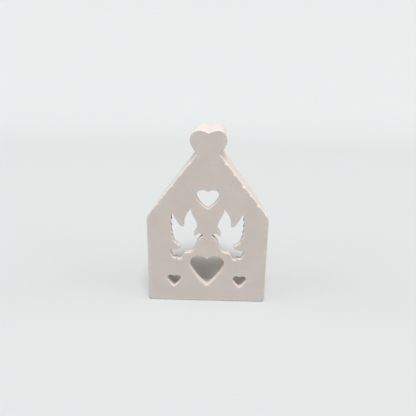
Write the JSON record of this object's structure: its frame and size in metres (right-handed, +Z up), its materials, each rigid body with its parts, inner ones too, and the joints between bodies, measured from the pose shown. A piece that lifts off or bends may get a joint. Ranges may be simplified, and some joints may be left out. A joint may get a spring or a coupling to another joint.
{
  "type": "dove and heart house lantern",
  "caption": "Small open-backed plaster house lantern with doves and hearts cut through its front and a heart along its ridge.",
  "frame": {"origin": "middle of the flat underside, on the surface that it stands on", "axes": "+X to the right seen from the front, +Y from the fretted front to the open back, +Z up"},
  "size_m": [0.1, 0.062, 0.1463],
  "materials": {
    "white_plaster": "matte, chalky, uncoloured white casting"
  },
  "bodies": {
    "root": {"front_panel": "white_plaster", "floor_slab": "white_plaster", "left_wall": "white_plaster", "right_wall": "white_plaster", "left_roof_slab": "white_plaster", "right_roof_slab": "white_plaster", "ridge_heart": "white_plaster"}
  },
  "joints": []
}
